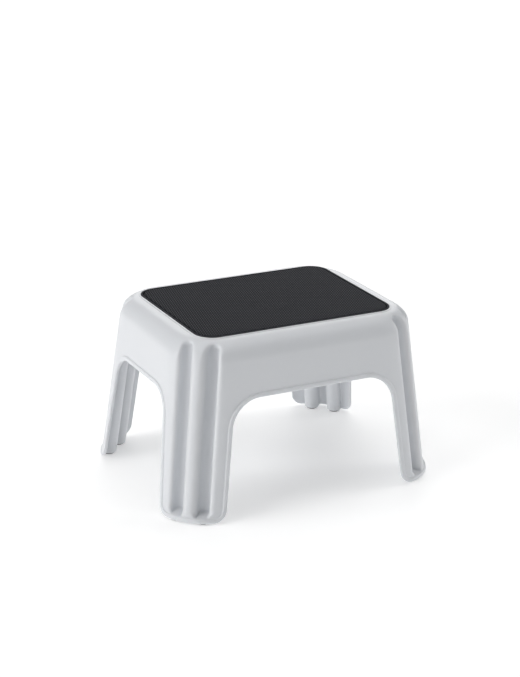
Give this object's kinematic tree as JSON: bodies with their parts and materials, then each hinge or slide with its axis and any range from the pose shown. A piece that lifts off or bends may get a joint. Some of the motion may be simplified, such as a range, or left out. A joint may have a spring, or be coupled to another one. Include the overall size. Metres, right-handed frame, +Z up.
{
  "type": "step stool",
  "caption": "Low moulded plastic step stool on fluted splayed legs, with arched sides, a soft tread mat let into the top and rubber foot pads.",
  "frame": {"origin": "on the floor, under the middle of the stool", "axes": "+Z up, +X along the long side, to the right when the stool is seen from its front face, which looks along -Y"},
  "size_m": [0.3942, 0.3146, 0.235],
  "materials": {
    "body_plastic": "glossy injection-moulded polypropylene, very light grey",
    "mat_rubber": "matt charcoal thermoplastic rubber with a fine raised texture",
    "pad_rubber": "matt black rubber"
  },
  "bodies": {
    "root": {"stool_body": "body_plastic", "tread_mat": "mat_rubber", "foot_pad_front_left_end": "pad_rubber", "foot_pad_front_left_side": "pad_rubber", "foot_pad_front_right_end": "pad_rubber", "foot_pad_front_right_side": "pad_rubber", "foot_pad_rear_left_end": "pad_rubber", "foot_pad_rear_left_side": "pad_rubber", "foot_pad_rear_right_end": "pad_rubber", "foot_pad_rear_right_side": "pad_rubber"}
  },
  "joints": []
}
